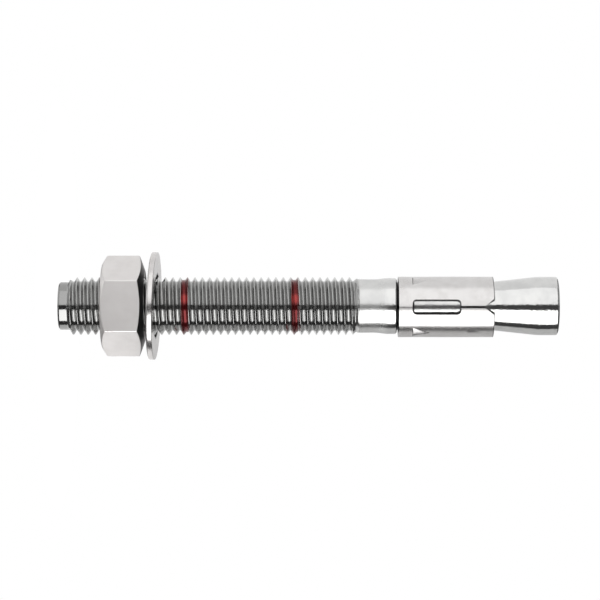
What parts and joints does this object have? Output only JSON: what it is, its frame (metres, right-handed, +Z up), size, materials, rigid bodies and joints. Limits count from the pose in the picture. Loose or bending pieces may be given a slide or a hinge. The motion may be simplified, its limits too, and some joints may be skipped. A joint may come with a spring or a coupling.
{
  "type": "wedge anchor bolt",
  "caption": "Through-bolt wedge anchor: threaded stud with a cone end, a split expansion clip on its neck, a flat washer and a hex nut.",
  "frame": {"origin": "centre of the washer's bearing face, on the stud's axis", "axes": "+Z up, from the threaded end that the loose anchor stands on towards the cone; -Y towards the side that the picture shows"},
  "size_m": [0.0293, 0.0293, 0.1353],
  "materials": {
    "stud_steel": "bright rolled stainless steel",
    "clip_steel": "bright rolled stainless sheet",
    "washer_steel": "polished punched stainless sheet",
    "nut_steel": "cold-formed stainless steel"
  },
  "bodies": {
    "stud": {"anchor_stud": "stud_steel"},
    "washer": {"flat_washer": "washer_steel"},
    "nut": {"hex_nut": "nut_steel"},
    "clip": {"expansion_clip": "clip_steel"}
  },
  "joints": [
    {"name": "washer_slide", "type": "slide", "parent": "stud", "child": "washer", "axis": [0, 0, 1], "range_m": [-0.0085, 0.054]},
    {"name": "nut_turn", "type": "hinge", "parent": "washer", "child": "nut", "pos_m": [0, 0, 0], "axis": [0, 0, 1], "range_deg": [-1530, 9720]},
    {"name": "clip_turn", "type": "hinge", "parent": "stud", "child": "clip", "pos_m": [0.00025, 0, 0.078], "axis": [0, 0, 1], "continuous": true}
  ],
  "couplings": [
    {"joint": "washer_slide", "follows": "nut_turn", "m_per_rad": 0.00031831}
  ]
}
